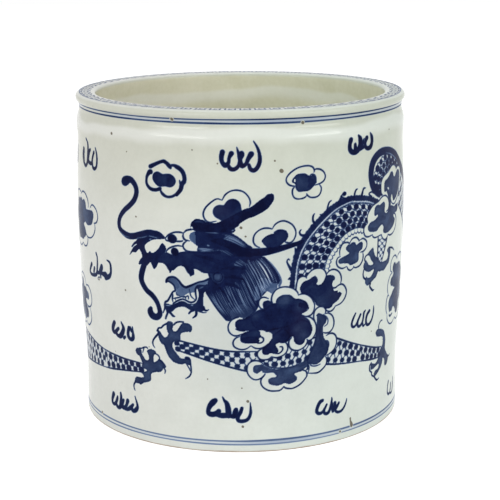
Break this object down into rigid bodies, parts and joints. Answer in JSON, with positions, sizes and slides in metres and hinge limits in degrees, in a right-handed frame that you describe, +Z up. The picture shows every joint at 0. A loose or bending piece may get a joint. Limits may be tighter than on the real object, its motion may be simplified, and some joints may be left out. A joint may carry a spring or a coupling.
{
  "type": "brush pot",
  "caption": "Wide upright porcelain cylinder with a rolled rim and an open mouth, painted in blue under a glossy glaze, for holding writing brushes.",
  "frame": {"origin": "centre of the foot, on the surface that the pot stands on", "axes": "+Z up along the pot's axis; the dragon's head on the painted front faces -Y"},
  "size_m": [0.2016, 0.2016, 0.198],
  "materials": {
    "glazed_porcelain": "gloss",
    "cobalt_painting": "gloss"
  },
  "bodies": {
    "root": {"pot_body": "glazed_porcelain"}
  },
  "joints": []
}
